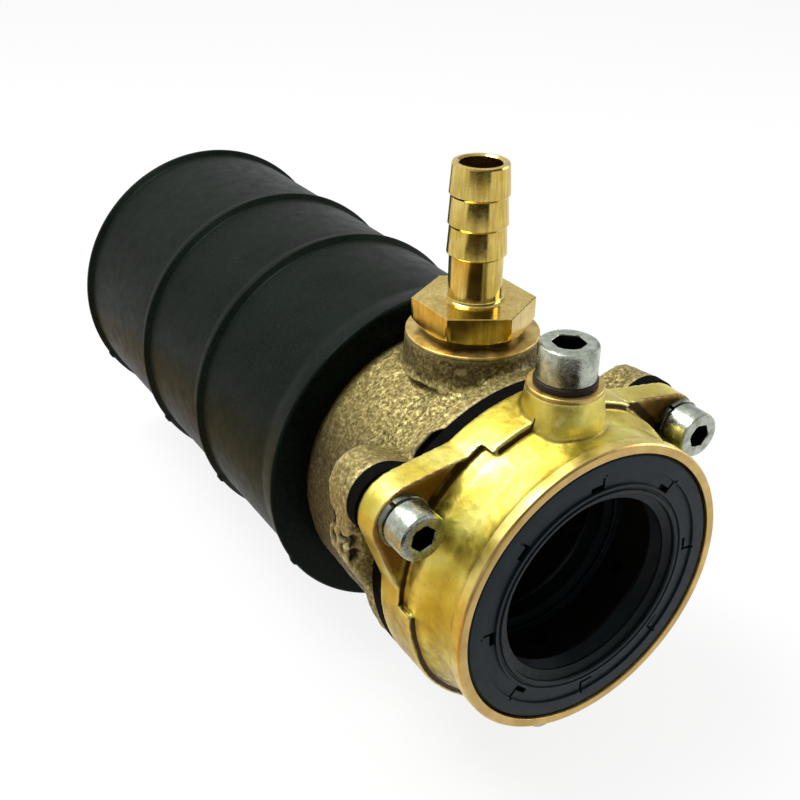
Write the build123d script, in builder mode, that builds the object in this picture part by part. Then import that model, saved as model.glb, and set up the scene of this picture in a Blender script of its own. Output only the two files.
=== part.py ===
from build123d import *
import math
import os

os.makedirs("parts", exist_ok=True)

# Shaft stern gland (stuffing box) with grease packed lip seals and a water barb.
# Millimetres. The shaft axis is Y, the seal cover faces -Y, +Z is up.
# The origin is on the shaft axis, in the front rim plane of the seal cover.

# Shaft and the gaps of its fits, all of them radial
shaft_d = 35.0
bearing_gap = 0.05
fit_gap = 0.02  # pressed and bonded cylinders
thread_gap = 0.05  # a modelled shank in its tapped hole
screw_gap = 0.25  # a screw in its clearance hole

# Lip seals, sizes of the section
seal_ring = 8.5  # radial size from the shaft to the outside
seal_width = 7.0
seal_recess = 0.3  # the outer seal sits this far inside the cover's rim
seal_chamfer = 0.6
seal_case_t = 2.9
seal_web = 2.3
lip_pinch = 0.5  # the free lips are this much smaller than the shaft, in radius
lip_station = 4.6
lip_back = 1.9
dust_lip_h = 1.5
dust_step = 0.9
dust_root = 1.5
dust_tip = 0.4
face_rim_w = 3.2
face_band_w = 2.5
face_band_depth = 0.45
pocket_count = 8
pocket_w = 3.0
pocket_depth = 1.6
spring_r = 0.9
spring_lift = 2.3  # from the lip's edge to the spring's centre line
spring_shift = 0.7  # the spring lies behind the lip's edge
spring_hold = 0.2  # rubber above the spring's centre line

# Grease ring between the two seals
grease_ring_wall = 6.0
grease_groove = 1.6
grease_groove_side = 0.5
grease_hole_d = 3.0
grease_hole_count = 6

# Seal cover
cover_depth = 20.0
cover_wall = 1.35
rim_proud = 0.4  # machined front rim stands out of the waist
rim_chamfer = 0.4
rim_length = 2.2
waist_end = 7.0  # the waist ends here and flares towards the flange
flare_rise = 1.3
flange_rise = 1.35
flange_t = 8.7
ear_t = 5.6  # the ears are milled down to this thickness
seat_cut_width = 30.6

# Ears and their screws
ear_count = 3
ear_start = 30.0
ear_rim = 2.55  # the round end of an ear is this much larger than its screw head, in radius
ear_pull = 2.0  # and is centred this far inside the screw
ear_flank = 3.0  # a cover ear's flanks run tangent to a circle this far inside the flange
head_room = 1.1  # between a screw head and the hub
screw_d = 5.0
screw_head_d = 8.5
screw_head_h = 5.0
screw_head_chamfer = 0.45
screw_length = 16.0
screw_socket = 4.0
screw_socket_depth = 2.6
washer_d = 9.2
washer_t = 1.2
washer_split = 0.7

# Gasket
gasket_t = 2.5
gasket_proud = 0.1
gasket_bore_gap = 0.3

# Grease plug and the boss that carries it
plug_offset = 0.9  # the plug stands this far behind the middle of the grease ring
plug_d = 6.0
plug_head_d = 10.0
plug_head_h = 6.0
plug_head_chamfer = 0.5
plug_end_gap = 1.3
plug_socket = 5.0
plug_socket_depth = 3.0
plug_washer_t = 1.2
plug_washer_d = 10.6
plug_boss_h = 6.95
plug_boss_d = 12.7
plug_boss_draft = 6.0

# Bronze body
body_flange_t = 3.8
body_flange_inset = 0.2  # the body's flange is this much smaller in radius
body_ear_t = 7.2
body_ear_rim = 1.95
body_ear_pull = 1.0
body_ear_spread = 10.3
lug_draft = 5.0
lug_side_low = 4.5  # the side lugs stay full down to this height over the axis
lug_side_foot = 7.0  # and run back to the barrel this far below it
barrel_rise = 1.3
barrel_draft = 0.8
spigot_wall = 2.7
spigot_relief = 0.3  # the spigot is this much smaller than the stern tube, in radius
spigot_length = 40.0
spigot_chamfer = 1.0
neck_gap = 2.0  # bare metal cone between the barrel casting and the rubber
neck_end = 0.2
boss_gap = 3.3
boss_d = 24.0
boss_h = 5.1
boss_foot = 1.2
boss_draft = 0.2
boss_edge = 0.4
boss_back_room = 2.2
chamber_run = 8.2  # the water chamber runs past the middle of the boss

# Water lubricated bearing in the spigot
bearing_wall = 6.5
bearing_inset = 2.0
bearing_shoulder = 3.5
bearing_shell_t = 2.5
liner_floor = 1.38  # rubber left under a flute
flute_count = 8
flute_r = 1.7

# Rubber sleeve
sleeve_length = 107.0
sleeve_wall = 6.0
rib_height = 1.1
rib_first = 35.3  # crests, from the front face of the sleeve
rib_pitch = 30.2
rib_last_inset = 2.4  # the last crest, from the back face
rib_crest = 0.8
rib_front = 1.2
rib_back = 2.6
rib_edge = 0.35
rib_root = 0.8
rib_tail = 2.0
lip_rise = 1.3
lip_length = 6.0
lip_edge = 0.7
lip_hollow = 8.0
end_draft = 0.6

# Hose barb
barb_thread_d = 13.1
barb_thread_l = 9.0
barb_thread_end = 0.8
barb_hex = 19.0
barb_hex_h = 5.2
barb_hex_slant = 1.3
barb_hex_trim = 0.6
barb_collar_inset = 1.4
barb_collar_h = 0.8
barb_bore_d = 7.3
barb_wall = 1.1
barb_crest_h = 0.5
barb_valley = 0.2  # the stem is thicker by this between the barbs
barb_tip_h = 0.1
barb_count = 3
barb_pitch = 5.25
barb_stem_h = 8.6
barb_step = 0.45
barb_root = 0.5

# Radii that follow from those above
shaft_r = shaft_d / 2
seal_r = shaft_r + seal_ring
seal_case_r = seal_r - seal_case_t
lip_r = shaft_r - lip_pinch
dust_step_r = lip_r + dust_lip_h
spring_ring_r = lip_r + spring_lift
face_band_out = seal_r - face_rim_w
face_band_in = face_band_out - face_band_w
grease_ring_r = seal_r - grease_ring_wall
waist_r = seal_r + cover_wall
hub_r = waist_r + flare_rise
flange_r = hub_r + flange_rise
screw_r = hub_r + head_room + screw_head_d / 2
ear_r = screw_head_d / 2 + ear_rim
body_ear_r = screw_head_d / 2 + body_ear_rim
body_flange_r = flange_r - body_flange_inset
bearing_r = shaft_r + bearing_wall
liner_r = bearing_r - bearing_shell_t - fit_gap
chamber_r = bearing_r - bearing_shoulder
spigot_r = bearing_r + spigot_wall
tube_r = spigot_r + spigot_relief
barrel_r = tube_r + barrel_rise
barrel_back_r = barrel_r - barrel_draft
sleeve_r = tube_r + sleeve_wall
boss_r = boss_d / 2
plug_boss_top = waist_r + plug_boss_h
boss_top = barrel_r + boss_h

# Stations along Y that follow from those above
outer_seal_back = seal_recess + seal_width
flange_front = cover_depth - flange_t
ear_seat = cover_depth - ear_t
gasket_back = cover_depth + gasket_t
inner_seal_front = gasket_back - seal_width
grease_ring_l = inner_seal_front - outer_seal_back
plug_station = (outer_seal_back + inner_seal_front) / 2 + plug_offset
boss_station = gasket_back + boss_gap + boss_r
bearing_front = boss_station + chamber_run
sleeve_front = boss_station + boss_r + boss_back_room
sleeve_back = sleeve_front + sleeve_length
spigot_back = sleeve_front + spigot_length
bearing_length = spigot_back - bearing_inset - bearing_front


# Planes that face +Y; their local X is the part's X and their local Y is -Z,
# so the angle of an ear is measured the other way round in them.
def station(y):
    return Plane(origin=(0, y, 0), x_dir=(1, 0, 0), z_dir=(0, 1, 0))


def ears():
    return PolarLocations(0, ear_count, start_angle=-ear_start)


def ear_points(radius=screw_r):
    return PolarLocations(radius, ear_count, start_angle=-ear_start)


# Plans of the ears, drawn on the local X axis
with BuildSketch() as ear_plan:
    with Locations((screw_r - ear_pull, 0)):
        Circle(ear_r)
    Circle(flange_r - ear_flank)
    make_hull()

with BuildSketch() as body_ear_plan:
    with Locations((screw_r - body_ear_pull, 0)):
        Circle(body_ear_r)
    Circle(body_ear_spread)
    make_hull()

# The ear of the gasket ends within its ring, so the three never meet at the shaft
with BuildSketch() as gasket_ear_plan:
    add(offset(body_ear_plan.sketch, gasket_proud, mode=Mode.PRIVATE))
    Circle((seal_r + body_flange_r) / 2, mode=Mode.SUBTRACT)


# Section of a double lip seal, from its outer corner round the lips and back
def seal_section(front):
    dust_lip = front + dust_step
    lip_end = front + lip_station + lip_back
    arm_r = spring_ring_r + spring_hold
    return [
        (seal_r, front + seal_chamfer),
        (seal_r - seal_chamfer, front),
        (face_band_out, front),
        (face_band_out, front + face_band_depth),
        (face_band_in, front + face_band_depth),
        (face_band_in, front),
        (dust_step_r, front),
        (dust_step_r, dust_lip),
        (lip_r, dust_lip + (dust_root - dust_tip) / 2),
        (lip_r, dust_lip + (dust_root + dust_tip) / 2),
        (dust_step_r, dust_lip + dust_root),
        (lip_r, front + lip_station),
        (dust_step_r, lip_end),
        (arm_r, lip_end),
        (arm_r, front + seal_web),
        (seal_case_r, front + seal_web),
        (seal_case_r, front + seal_width),
        (seal_r, front + seal_width),
    ]


def spring_spot(front):
    return (spring_ring_r, front + lip_station + spring_shift)


def lip_seal(front):
    with BuildPart() as seal:
        with BuildSketch(Plane.XY):
            with BuildLine():
                Polyline(*seal_section(front), close=True)
            make_face()
            with Locations(spring_spot(front)):
                Circle(spring_r + fit_gap, mode=Mode.SUBTRACT)
        revolve(axis=Axis.Y)
        # Moulding pockets spaced round the sunk band of the face
        with BuildSketch(station(front)):
            with PolarLocations((face_band_in + face_band_out) / 2, pocket_count):
                Rectangle(face_band_w, pocket_w)
        extrude(amount=pocket_depth, mode=Mode.SUBTRACT)
    return seal


def garter_spring(front):
    with BuildPart() as spring:
        with BuildSketch(Plane.XY):
            with Locations(spring_spot(front)):
                Circle(spring_r)
        revolve(axis=Axis.Y)
    return spring


with BuildPart() as seal_cover:
    with BuildSketch(Plane.XY):
        with BuildLine():
            Polyline(
                (seal_r, 0),
                (waist_r + rim_proud - rim_chamfer, 0),
                (waist_r + rim_proud, rim_chamfer),
                (waist_r + rim_proud, rim_length),
                (waist_r, rim_length + rim_proud),
                (waist_r, waist_end),
                (hub_r, flange_front),
                (hub_r, cover_depth),
                (seal_r, cover_depth),
                close=True,
            )
        make_face()
    revolve(axis=Axis.Y)
    # Flange with its three ears
    with BuildSketch(station(flange_front)):
        Circle(flange_r)
        with ears():
            add(ear_plan.sketch)
        Circle(seal_r + fit_gap, mode=Mode.SUBTRACT)
    extrude(amount=cover_depth - flange_front)
    # Each ear is milled to its screw seat and the cut stops at the hub
    with BuildSketch(station(flange_front)):
        with ear_points():
            Rectangle(2 * screw_r, seat_cut_width)
        Circle(hub_r, mode=Mode.SUBTRACT)
    extrude(amount=ear_seat - flange_front, mode=Mode.SUBTRACT)
    # Boss of the grease plug
    with BuildSketch(Plane.XY.offset(plug_boss_top)):
        with Locations((0, plug_station)):
            Circle(plug_boss_d / 2)
    extrude(amount=seal_r - plug_boss_top, taper=-plug_boss_draft)
    with BuildSketch(station(0)):
        Circle(seal_r)
    extrude(amount=cover_depth, mode=Mode.SUBTRACT)
    with Locations(Plane(origin=(0, plug_station, plug_boss_top))):
        Hole(plug_d / 2 + thread_gap, depth=plug_boss_top)
    with Locations(station(ear_seat)):
        with ear_points():
            Hole(screw_d / 2 + screw_gap, depth=cover_depth)
seal_cover.part.label = "seal_cover"

with BuildPart() as flange_gasket:
    with BuildSketch(station(cover_depth)):
        Circle(body_flange_r + gasket_proud)
        with ears():
            add(gasket_ear_plan.sketch)
        Circle(seal_r + gasket_bore_gap, mode=Mode.SUBTRACT)
        with ear_points():
            Circle(screw_d / 2 + screw_gap, mode=Mode.SUBTRACT)
    extrude(amount=gasket_t)
flange_gasket.part.label = "flange_gasket"

with BuildPart() as gland_body:
    # Drafted barrel, then the spigot that the rubber sleeve is bonded to
    with BuildSketch(Plane.XY):
        with BuildLine():
            Polyline(
                (chamber_r, gasket_back),
                (barrel_r, gasket_back),
                (barrel_r, gasket_back + body_flange_t),
                (barrel_back_r, sleeve_front - neck_gap),
                (spigot_r - fit_gap, sleeve_front - neck_end),
                (spigot_r - fit_gap, spigot_back - spigot_chamfer),
                (spigot_r - spigot_chamfer, spigot_back),
                (bearing_r + fit_gap, spigot_back),
                (bearing_r + fit_gap, bearing_front),
                (chamber_r, bearing_front),
                close=True,
            )
        make_face()
    revolve(axis=Axis.Y)
    with BuildSketch(station(gasket_back)):
        Circle(body_flange_r)
        Circle(chamber_r, mode=Mode.SUBTRACT)
    extrude(amount=body_flange_t)
    # Cast lugs behind the ears, the side ones filled downwards as the mould is drawn
    lug_out = (screw_r - body_ear_pull) * math.cos(math.radians(ear_start)) + body_ear_r
    lug_up = (screw_r - body_ear_pull) * math.sin(math.radians(ear_start))
    with BuildSketch(station(gasket_back)):
        with ears():
            add(body_ear_plan.sketch)
        with BuildLine():
            Polyline(
                (0, -lug_up),
                (lug_out, -lug_up),
                (lug_out, -lug_side_low),
                (barrel_r, lug_side_foot),
                (0, lug_side_foot),
                close=True,
            )
        make_face()
        mirror(about=Plane.YZ)
        Circle(chamber_r, mode=Mode.SUBTRACT)
    extrude(amount=body_ear_t, taper=lug_draft)
    # Vertical boss of the hose barb, drafted and flared into the barrel
    foot_top = barrel_r + boss_foot / 2
    foot_low = barrel_r - 1.5 * boss_foot
    with BuildSketch(Plane.XZ.offset(-boss_station)):
        with BuildLine():
            Polyline(
                (boss_r + boss_foot, foot_low),
                (0, foot_low),
                (0, boss_top),
                (boss_r - boss_edge, boss_top),
                (boss_r, boss_top - boss_edge),
                (boss_r + boss_draft, foot_top),
            )
            TangentArc(
                (boss_r + boss_draft, foot_top),
                (boss_r + boss_foot, foot_low),
                tangent=(0, -1),
            )
        make_face()
    revolve(axis=Axis((0, boss_station, 0), (0, 0, 1)))
    with BuildSketch(station(gasket_back)):
        Circle(chamber_r)
    extrude(amount=bearing_front - gasket_back, mode=Mode.SUBTRACT)
    with Locations(Plane(origin=(0, boss_station, boss_top))):
        Hole(barb_thread_d / 2 + thread_gap, depth=barb_thread_l + barb_root)
        Hole(barb_bore_d / 2, depth=boss_top)
    with Locations(station(gasket_back)):
        with ear_points():
            Hole(screw_d / 2 + thread_gap, depth=body_ear_t)
gland_body.part.label = "gland_body"

with BuildPart() as rubber_sleeve:
    crest_r = sleeve_r + rib_height
    outline = [
        (spigot_r, sleeve_front),
        (sleeve_r + lip_rise, sleeve_front),
        (sleeve_r, sleeve_front + lip_length),
    ]
    radii = [lip_edge, lip_hollow]
    # Each rib has a steep front and a long tail, and the last one ends at the back face
    last_crest = sleeve_back - rib_last_inset
    first_crest = sleeve_front + rib_first
    for crest in [first_crest, first_crest + rib_pitch, last_crest]:
        outline += [
            (sleeve_r, crest - rib_crest / 2 - rib_front),
            (crest_r, crest - rib_crest / 2),
            (crest_r, crest + rib_crest / 2),
        ]
        radii += [rib_root, rib_edge, rib_edge]
        if crest != last_crest:
            outline += [(sleeve_r, crest + rib_crest / 2 + rib_back)]
            radii += [rib_tail]
    outline += [(sleeve_r - end_draft, sleeve_back), (tube_r, sleeve_back)]
    radii += [rib_root]
    with BuildSketch(Plane.XY):
        with BuildLine():
            FilletPolyline(*outline, radius=radii)
            Polyline(outline[-1], (tube_r, spigot_back), (spigot_r, spigot_back), outline[0])
        make_face()
    revolve(axis=Axis.Y)
rubber_sleeve.part.label = "rubber_sleeve"

with BuildPart() as bearing_shell:
    with BuildSketch(station(bearing_front)):
        Circle(bearing_r)
        Circle(bearing_r - bearing_shell_t, mode=Mode.SUBTRACT)
    extrude(amount=bearing_length)
bearing_shell.part.label = "bearing_shell"

with BuildPart() as bearing_liner:
    with BuildSketch(station(bearing_front)):
        Circle(liner_r)
        Circle(shaft_r + bearing_gap, mode=Mode.SUBTRACT)
        with PolarLocations(liner_r - liner_floor - flute_r, flute_count):
            Circle(flute_r, mode=Mode.SUBTRACT)
    extrude(amount=bearing_length)
bearing_liner.part.label = "bearing_liner"


outer_lip_seal = lip_seal(seal_recess)
outer_lip_seal.part.label = "outer_lip_seal"
outer_garter_spring = garter_spring(seal_recess)
outer_garter_spring.part.label = "outer_garter_spring"

inner_lip_seal = lip_seal(inner_seal_front)
inner_lip_seal.part.label = "inner_lip_seal"
inner_garter_spring = garter_spring(inner_seal_front)
inner_garter_spring.part.label = "inner_garter_spring"

with BuildPart() as grease_ring:
    with BuildSketch(station(outer_seal_back)):
        Circle(seal_r - fit_gap)
        Circle(grease_ring_r, mode=Mode.SUBTRACT)
    extrude(amount=grease_ring_l)
    # Grease groove under the plug, with feed holes to the shaft
    groove_half = grease_hole_d / 2 + grease_groove_side
    with BuildSketch(station(plug_station - groove_half)):
        Circle(seal_r)
        Circle(seal_r - grease_groove, mode=Mode.SUBTRACT)
    extrude(amount=2 * groove_half, mode=Mode.SUBTRACT)
    for k in range(grease_hole_count):
        turn = 2 * math.pi * k / grease_hole_count
        spot = (seal_r * math.sin(turn), plug_station, seal_r * math.cos(turn))
        with Locations(Plane(origin=spot, z_dir=(math.sin(turn), 0, math.cos(turn)))):
            Hole(grease_hole_d / 2, depth=seal_r)
grease_ring.part.label = "grease_ring"


# Hose barb, turned from hexagon bar
with BuildPart() as hose_barb:
    seat = boss_top + barb_collar_h
    barb_top = seat + barb_hex_h
    stem_r = barb_bore_d / 2 + barb_wall
    with BuildSketch(Plane.XY.offset(seat)):
        with Locations((0, boss_station)):
            RegularPolygon(barb_hex / 2, 6, major_radius=False, rotation=30)
    extrude(amount=barb_hex_h)
    # Underside corners are turned back at a slant, as on any hexagon bar part
    with BuildSketch(Plane.XZ.offset(-boss_station)):
        with BuildLine():
            Polyline(
                (barb_hex / 2 - barb_hex_trim, seat),
                (barb_hex, seat),
                (barb_hex, seat + barb_hex_slant * barb_hex / 2 / (barb_hex / 2 - barb_hex_trim)),
                close=True,
            )
        make_face()
    revolve(axis=Axis((0, boss_station, 0), (0, 0, 1)), mode=Mode.SUBTRACT)
    # Thread shank, collar and barbed stem
    collar_r = (barb_hex - barb_collar_inset) / 2
    first_barb = barb_top + barb_stem_h
    profile = [
        (0, boss_top - barb_thread_l),
        (barb_thread_d / 2 - barb_thread_end, boss_top - barb_thread_l),
        (barb_thread_d / 2, boss_top - barb_thread_l + barb_thread_end),
        (barb_thread_d / 2, boss_top),
        (collar_r, boss_top),
        (collar_r, barb_top - barb_root),
        (stem_r + barb_root, barb_top - barb_root),
        (stem_r + barb_root, barb_top),
        (stem_r, barb_top + barb_root),
        (stem_r, first_barb - barb_step),
    ]
    for k in range(barb_count):
        crest = first_barb + k * barb_pitch
        profile += [(stem_r + barb_crest_h, crest)]
        if k < barb_count - 1:
            profile += [(stem_r + barb_valley, crest + barb_pitch - barb_step)]
    barb_tip = crest + barb_pitch
    profile += [(stem_r + barb_tip_h, barb_tip), (0, barb_tip)]
    with BuildSketch(Plane.XZ.offset(-boss_station)):
        with BuildLine():
            Polyline(*profile, close=True)
        make_face()
    revolve(axis=Axis((0, boss_station, 0), (0, 0, 1)))
    with Locations(Plane(origin=(0, boss_station, barb_tip))):
        Hole(barb_bore_d / 2, depth=barb_tip)
hose_barb.part.label = "hose_barb"

with BuildPart() as grease_plug:
    head = plug_boss_top + plug_washer_t
    with BuildSketch(Plane.XY.offset(head)):
        with Locations((0, plug_station)):
            Circle(plug_head_d / 2)
    extrude(amount=plug_head_h)
    chamfer(grease_plug.edges().group_by(Axis.Z)[-1], length=plug_head_chamfer)
    with BuildSketch(Plane.XY.offset(head + plug_head_h)):
        with Locations((0, plug_station)):
            RegularPolygon(plug_socket / 2, 6, major_radius=False)
    extrude(amount=-plug_socket_depth, mode=Mode.SUBTRACT)
    with BuildSketch(Plane.XY.offset(head)):
        with Locations((0, plug_station)):
            Circle(plug_d / 2)
    extrude(amount=seal_r + plug_end_gap - head)
grease_plug.part.label = "grease_plug"

with BuildPart() as grease_plug_washer:
    with BuildSketch(Plane.XY.offset(plug_boss_top)):
        with Locations((0, plug_station)):
            Circle(plug_washer_d / 2)
            Circle(plug_d / 2 + thread_gap, mode=Mode.SUBTRACT)
    extrude(amount=plug_washer_t)
grease_plug_washer.part.label = "grease_plug_washer"


# Centre of an ear's screw in the local frame of a station plane
def ear_spot(angle):
    turn = math.radians(-angle)
    return (screw_r * math.cos(turn), screw_r * math.sin(turn))


# Socket head cap screw of an ear
def cap_screw(angle):
    head_plane = station(ear_seat - washer_t)
    with BuildPart() as screw:
        with BuildSketch(head_plane):
            with Locations(ear_spot(angle)):
                Circle(screw_head_d / 2)
        extrude(amount=-screw_head_h)
        chamfer(screw.edges().group_by(Axis.Y)[0], length=screw_head_chamfer)
        with BuildSketch(head_plane.offset(-screw_head_h)):
            with Locations(ear_spot(angle)):
                RegularPolygon(screw_socket / 2, 6, major_radius=False, rotation=angle)
        extrude(amount=screw_socket_depth, mode=Mode.SUBTRACT)
        with BuildSketch(head_plane):
            with Locations(ear_spot(angle)):
                Circle(screw_d / 2)
        extrude(amount=screw_length)
    return screw


# Split lock washer under a screw head, its gap turned towards the cover's outside
def split_washer(angle):
    with BuildPart() as washer:
        with BuildSketch(station(ear_seat - washer_t)):
            with Locations(ear_spot(angle)):
                Circle(washer_d / 2)
                Circle(screw_d / 2 + thread_gap, mode=Mode.SUBTRACT)
            with Locations(Location(ear_spot(angle), 60 - angle)):
                Rectangle(washer_d, washer_split, align=(Align.MIN, Align.CENTER), mode=Mode.SUBTRACT)
        extrude(amount=washer_t)
    return washer


cover_screw_right = cap_screw(ear_start)
cover_screw_right.part.label = "cover_screw_right"
cover_screw_left = cap_screw(ear_start + 120)
cover_screw_left.part.label = "cover_screw_left"
cover_screw_bottom = cap_screw(ear_start + 240)
cover_screw_bottom.part.label = "cover_screw_bottom"

lock_washer_right = split_washer(ear_start)
lock_washer_right.part.label = "lock_washer_right"
lock_washer_left = split_washer(ear_start + 120)
lock_washer_left.part.label = "lock_washer_left"
lock_washer_bottom = split_washer(ear_start + 240)
lock_washer_bottom.part.label = "lock_washer_bottom"

export_step(seal_cover.part, "parts/seal_cover.step")
export_step(flange_gasket.part, "parts/flange_gasket.step")
export_step(gland_body.part, "parts/gland_body.step")
export_step(rubber_sleeve.part, "parts/rubber_sleeve.step")
export_step(bearing_shell.part, "parts/bearing_shell.step")
export_step(bearing_liner.part, "parts/bearing_liner.step")
export_step(outer_lip_seal.part, "parts/outer_lip_seal.step")
export_step(outer_garter_spring.part, "parts/outer_garter_spring.step")
export_step(inner_lip_seal.part, "parts/inner_lip_seal.step")
export_step(inner_garter_spring.part, "parts/inner_garter_spring.step")
export_step(grease_ring.part, "parts/grease_ring.step")
export_step(hose_barb.part, "parts/hose_barb.step")
export_step(grease_plug.part, "parts/grease_plug.step")
export_step(grease_plug_washer.part, "parts/grease_plug_washer.step")
export_step(cover_screw_right.part, "parts/cover_screw_right.step")
export_step(cover_screw_left.part, "parts/cover_screw_left.step")
export_step(cover_screw_bottom.part, "parts/cover_screw_bottom.step")
export_step(lock_washer_right.part, "parts/lock_washer_right.step")
export_step(lock_washer_left.part, "parts/lock_washer_left.step")
export_step(lock_washer_bottom.part, "parts/lock_washer_bottom.step")
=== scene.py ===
import math

import bmesh
import bpy
import numpy as np
from mathutils import Matrix, Vector, noise


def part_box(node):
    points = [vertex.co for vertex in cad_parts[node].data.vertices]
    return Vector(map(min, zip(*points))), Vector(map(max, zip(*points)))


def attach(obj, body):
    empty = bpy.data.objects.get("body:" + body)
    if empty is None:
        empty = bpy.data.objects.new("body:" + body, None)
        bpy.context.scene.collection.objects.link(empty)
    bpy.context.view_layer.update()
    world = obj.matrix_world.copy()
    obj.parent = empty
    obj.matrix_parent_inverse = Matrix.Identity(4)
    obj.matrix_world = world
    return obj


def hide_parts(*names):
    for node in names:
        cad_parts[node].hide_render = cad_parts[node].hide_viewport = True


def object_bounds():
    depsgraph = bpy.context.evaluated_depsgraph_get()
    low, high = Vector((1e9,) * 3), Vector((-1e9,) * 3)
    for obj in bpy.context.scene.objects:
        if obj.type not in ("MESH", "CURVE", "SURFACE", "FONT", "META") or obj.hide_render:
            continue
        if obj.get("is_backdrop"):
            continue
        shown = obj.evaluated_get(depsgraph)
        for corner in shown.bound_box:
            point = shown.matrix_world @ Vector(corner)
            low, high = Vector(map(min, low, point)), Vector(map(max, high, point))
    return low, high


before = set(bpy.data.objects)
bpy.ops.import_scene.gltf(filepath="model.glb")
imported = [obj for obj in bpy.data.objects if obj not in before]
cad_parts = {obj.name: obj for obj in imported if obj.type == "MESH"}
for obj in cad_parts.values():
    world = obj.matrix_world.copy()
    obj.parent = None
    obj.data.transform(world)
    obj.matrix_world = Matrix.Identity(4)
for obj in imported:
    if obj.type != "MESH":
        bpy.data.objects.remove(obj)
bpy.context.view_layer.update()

MM = 0.001
weld = 1e-6  # points closer than this become one

# Places taken from the CAD frame, in metres. Named sizes further down are in millimetres.
sleeve_low, sleeve_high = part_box("rubber_sleeve")
cover_low, cover_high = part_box("seal_cover")
body_low, body_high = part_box("gland_body")
barb_low, barb_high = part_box("hose_barb")
plug_low, plug_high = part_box("grease_plug")
washer_low, washer_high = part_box("grease_plug_washer")
shell_low, shell_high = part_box("bearing_shell")
barb_y = (barb_low.y + barb_high.y) / 2
plug_y = (plug_low.y + plug_high.y) / 2
ear_angles = [math.radians(30), math.radians(150), math.radians(270)]


def add_object(name, data):
    obj = bpy.data.objects.new(name, data)
    bpy.context.scene.collection.objects.link(obj)
    return obj


# A piece that shows in place of a CAD node
def add_piece(name, mesh, material, node):
    obj = add_object(name, mesh)
    mesh.materials.clear()
    mesh.materials.append(material)
    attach(obj, "root")
    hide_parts(node)


# Mesh helpers

def shade(mesh, angle=32):
    mesh.polygons.foreach_set("use_smooth", np.ones(len(mesh.polygons), bool))
    mesh.set_sharp_from_angle(angle=math.radians(angle))


# Replaces each corner of an outline that has a radius by an arc of that radius
def rounded(points, steps=4):
    made = []
    count = len(points)
    for k in range(count):
        here = Vector(points[k][:2])
        radius = points[k][2] if len(points[k]) > 2 else 0.0
        if radius == 0.0:
            made.append(tuple(here))
            continue
        back = Vector(points[k - 1][:2]) - here
        ahead = Vector(points[(k + 1) % count][:2]) - here
        half = back.angle(ahead) / 2
        reach = radius / math.tan(half)
        reach = min(reach, 0.49 * back.length, 0.49 * ahead.length)
        radius = reach * math.tan(half)
        start = here + back.normalized() * reach
        end = here + ahead.normalized() * reach
        middle = here + (back.normalized() + ahead.normalized()).normalized() * (radius / math.sin(half))
        first = start - middle
        turn = first.angle_signed(end - middle)
        for s in range(steps + 1):
            spin = Matrix.Rotation(-turn * s / steps, 2)
            made.append(tuple(middle + spin @ first))
    return made


def even_angles(steps):
    return [2 * math.pi * k / steps for k in range(steps)]


# Turns a closed outline of (radius, height) pairs, in millimetres, about an axis through place.
# ring_of may change a ring's radius and height with the angle, as for a hexagon or a pocket.
def turned(name, outline, place, angles, axis="Y", ring_of=None, smooth=32):
    verts = []
    for index, (radius, height) in enumerate(outline):
        for a in angles:
            r, h = (radius, height) if ring_of is None else ring_of(index, radius, height, a)
            across, up, along = r * MM * math.cos(a), r * MM * math.sin(a), h * MM
            if axis == "Y":
                verts.append((place[0] + across, place[1] + along, place[2] + up))
            else:
                verts.append((place[0] + across, place[1] + up, place[2] + along))
    count = len(angles)
    rings = len(outline)
    faces = []
    for i in range(rings):
        j = (i + 1) % rings
        for k in range(count):
            m = (k + 1) % count
            faces.append((i * count + k, i * count + m, j * count + m, j * count + k))
    mesh = bpy.data.meshes.new(name)
    mesh.from_pydata(verts, [], faces)
    bm = bmesh.new()
    bm.from_mesh(mesh)
    bmesh.ops.remove_doubles(bm, verts=bm.verts, dist=weld)
    bmesh.ops.dissolve_degenerate(bm, dist=weld / 10, edges=bm.edges)
    bmesh.ops.recalc_face_normals(bm, faces=bm.faces)
    bm.to_mesh(mesh)
    bm.free()
    shade(mesh, smooth)
    return mesh


# Radius of a hexagon, half its width across flats given, at an angle from a flat's middle
def hex_radius(half_flats, angle):
    part = (angle + math.pi / 6) % (math.pi / 3) - math.pi / 6
    return half_flats / math.cos(part)


# A CAD node's solid, cut off at the planes given and turned into an even fine mesh
def remeshed(node, voxel, cuts=()):
    bm = bmesh.new()
    bm.from_mesh(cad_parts[node].data)
    bmesh.ops.remove_doubles(bm, verts=bm.verts, dist=weld)
    for point, normal in cuts:
        geometry = bm.verts[:] + bm.edges[:] + bm.faces[:]
        made = bmesh.ops.bisect_plane(bm, geom=geometry, plane_co=point, plane_no=normal, clear_outer=True)
        edges = [e for e in made["geom_cut"] if isinstance(e, bmesh.types.BMEdge)]
        bmesh.ops.triangle_fill(bm, edges=edges, use_beauty=True, normal=normal)
    bmesh.ops.recalc_face_normals(bm, faces=bm.faces)
    mesh = bpy.data.meshes.new(node + "_rough")
    bm.to_mesh(mesh)
    bm.free()
    rough = bpy.data.objects.new(node + "_rough", mesh)
    bpy.context.scene.collection.objects.link(rough)
    change = rough.modifiers.new("remesh", "REMESH")
    change.mode = "VOXEL"
    change.voxel_size = voxel
    bpy.context.view_layer.update()
    fine = bpy.data.meshes.new_from_object(rough.evaluated_get(bpy.context.evaluated_depsgraph_get()))
    bpy.data.objects.remove(rough)
    return fine


def coordinates(mesh):
    co = np.empty(len(mesh.vertices) * 3)
    mesh.vertices.foreach_get("co", co)
    return co.reshape(-1, 3)


def normals(mesh):
    out = np.empty(len(mesh.vertices) * 3)
    mesh.vertex_normals.foreach_get("vector", out)
    return out.reshape(-1, 3)


def write_coordinates(mesh, co):
    mesh.vertices.foreach_set("co", co.ravel())
    mesh.update()


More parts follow.
